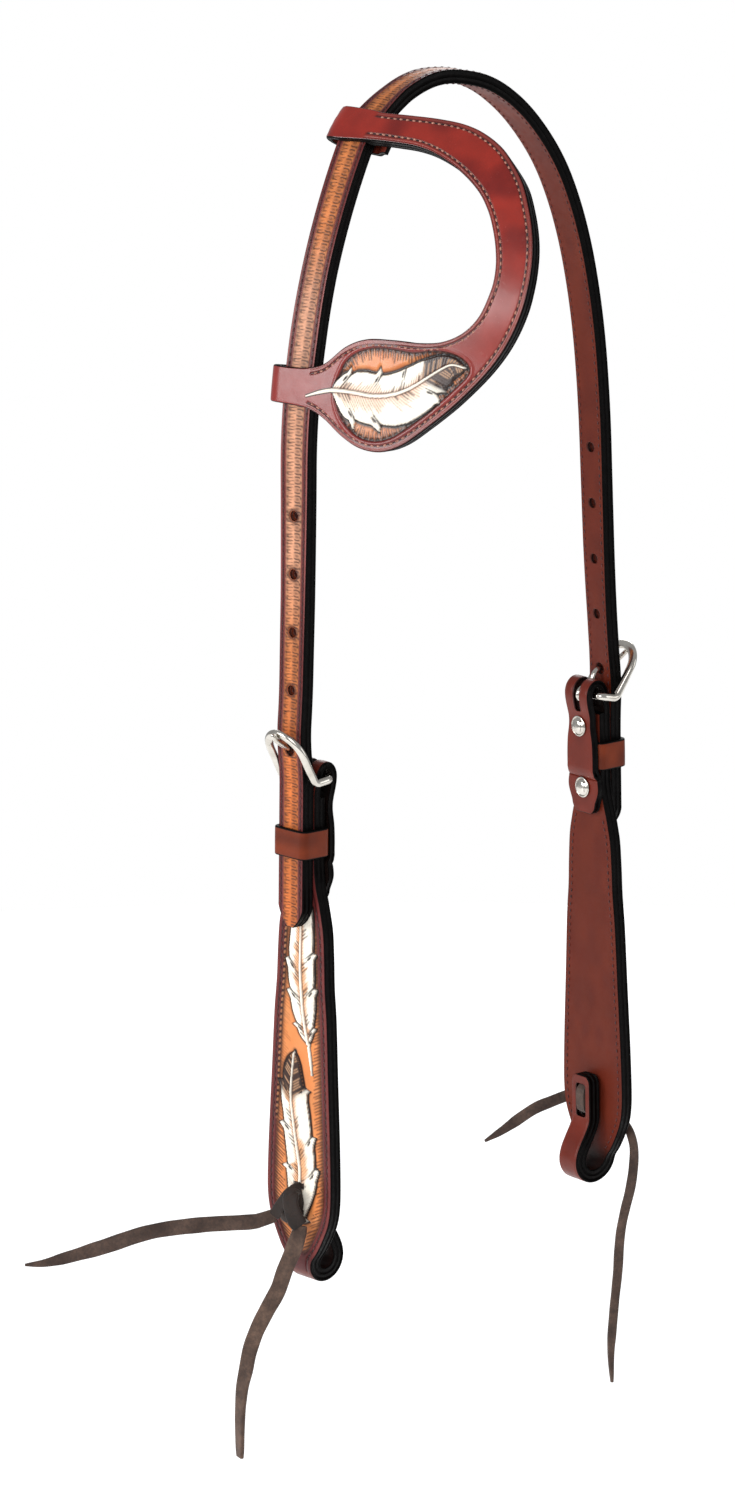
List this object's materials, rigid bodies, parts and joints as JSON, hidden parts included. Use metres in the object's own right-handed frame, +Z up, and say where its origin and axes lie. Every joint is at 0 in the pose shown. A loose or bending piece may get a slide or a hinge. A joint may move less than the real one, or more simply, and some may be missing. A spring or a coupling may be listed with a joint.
{
  "type": "western headstall",
  "caption": "One-ear leather headstall: a crown strap buckles to two tooled cheeks whose lower ends fold round the bit rings and close with leather laces.",
  "frame": {"origin": "underside of the crown strap at the poll, its highest point", "axes": "+Z up along the legs, -Y to the front of the headstall, -X to the leg that carries the ear piece"},
  "size_m": [0.2882, 0.1908, 0.6107],
  "materials": {
    "crown_lining": "smooth",
    "crown_outer": "tooled and stained",
    "ear_lining": "smooth",
    "ear_outer": "smooth, waxed",
    "far_buckle_frame": "polished nickel",
    "far_buckle_tongue": "polished nickel",
    "far_cheek_lining": "smooth",
    "far_cheek_outer": "tooled and stained",
    "far_keeper": "smooth, waxed",
    "far_lace_bight": "dull suede",
    "far_lace_knot": "dull suede",
    "far_lace_tail_a": "dull suede",
    "far_lace_tail_b": "dull suede",
    "far_rivet_lower_cap": "polished nickel",
    "far_rivet_lower_post": "polished nickel",
    "far_rivet_upper_cap": "polished nickel",
    "far_rivet_upper_post": "polished nickel",
    "near_buckle_frame": "polished nickel",
    "near_buckle_tongue": "polished nickel",
    "near_cheek_lining": "smooth",
    "near_cheek_outer": "tooled and stained",
    "near_keeper": "smooth, waxed",
    "near_lace_bight": "dull suede",
    "near_lace_knot": "dull suede",
    "near_lace_tail_a": "dull suede",
    "near_lace_tail_b": "dull suede",
    "near_rivet_lower_cap": "polished nickel",
    "near_rivet_lower_post": "polished nickel",
    "near_rivet_upper_cap": "polished nickel",
    "near_rivet_upper_post": "polished nickel"
  },
  "bodies": {
    "headstall": {"crown_outer": "crown_outer", "crown_lining": "crown_lining", "near_cheek_outer": "near_cheek_outer", "near_cheek_lining": "near_cheek_lining", "near_rivet_upper_cap": "near_rivet_upper_cap", "near_rivet_upper_post": "near_rivet_upper_post", "near_rivet_lower_cap": "near_rivet_lower_cap", "near_rivet_lower_post": "near_rivet_lower_post", "near_lace_bight": "near_lace_bight", "near_lace_knot": "near_lace_knot", "near_lace_tail_a": "near_lace_tail_a", "near_lace_tail_b": "near_lace_tail_b", "far_cheek_outer": "far_cheek_outer", "far_cheek_lining": "far_cheek_lining", "far_rivet_upper_cap": "far_rivet_upper_cap", "far_rivet_upper_post": "far_rivet_upper_post", "far_rivet_lower_cap": "far_rivet_lower_cap", "far_rivet_lower_post": "far_rivet_lower_post", "far_lace_bight": "far_lace_bight", "far_lace_knot": "far_lace_knot", "far_lace_tail_a": "far_lace_tail_a", "far_lace_tail_b": "far_lace_tail_b"},
    "ear_piece": {"ear_outer": "ear_outer", "ear_lining": "ear_lining"},
    "near_buckle": {"near_buckle_frame": "near_buckle_frame"},
    "near_tongue": {"near_buckle_tongue": "near_buckle_tongue"},
    "near_keeper_ring": {"near_keeper": "near_keeper"},
    "far_buckle": {"far_buckle_frame": "far_buckle_frame"},
    "far_tongue": {"far_buckle_tongue": "far_buckle_tongue"},
    "far_keeper_ring": {"far_keeper": "far_keeper"}
  },
  "joints": [
    {"name": "ear_slide", "type": "hinge", "parent": "headstall", "child": "ear_piece", "pos_m": [0.23684, 0, -0.16046], "axis": [0, -1, 0], "range_deg": [0, 0.7]},
    {"name": "near_buckle_swing", "type": "hinge", "parent": "headstall", "child": "near_buckle", "pos_m": [-0.06829, 0.00033, -0.29418], "axis": [0.0436, -0.999, -0.0006], "range_deg": [-5, 0]},
    {"name": "near_tongue_swing", "type": "hinge", "parent": "headstall", "child": "near_tongue", "pos_m": [-0.06829, 0.00033, -0.29418], "axis": [0.0436, -0.999, -0.0006], "range_deg": [0, 4]},
    {"name": "near_keeper_slide", "type": "slide", "parent": "headstall", "child": "near_keeper_ring", "axis": [0.014, 0, 0.9999], "range_m": [-0.0005, 0.004]},
    {"name": "far_buckle_swing", "type": "hinge", "parent": "headstall", "child": "far_buckle", "pos_m": [0.08931, 0.00033, -0.28027], "axis": [0.0436, 0.999, 0.0011], "range_deg": [-5, 0]},
    {"name": "far_tongue_swing", "type": "hinge", "parent": "headstall", "child": "far_tongue", "pos_m": [0.08931, 0.00033, -0.28027], "axis": [0.0436, 0.999, 0.0011], "range_deg": [0, 4]},
    {"name": "far_keeper_slide", "type": "slide", "parent": "headstall", "child": "far_keeper_ring", "axis": [-0.0262, 0, 0.9997], "range_m": [-0.0005, 0.004]}
  ]
}
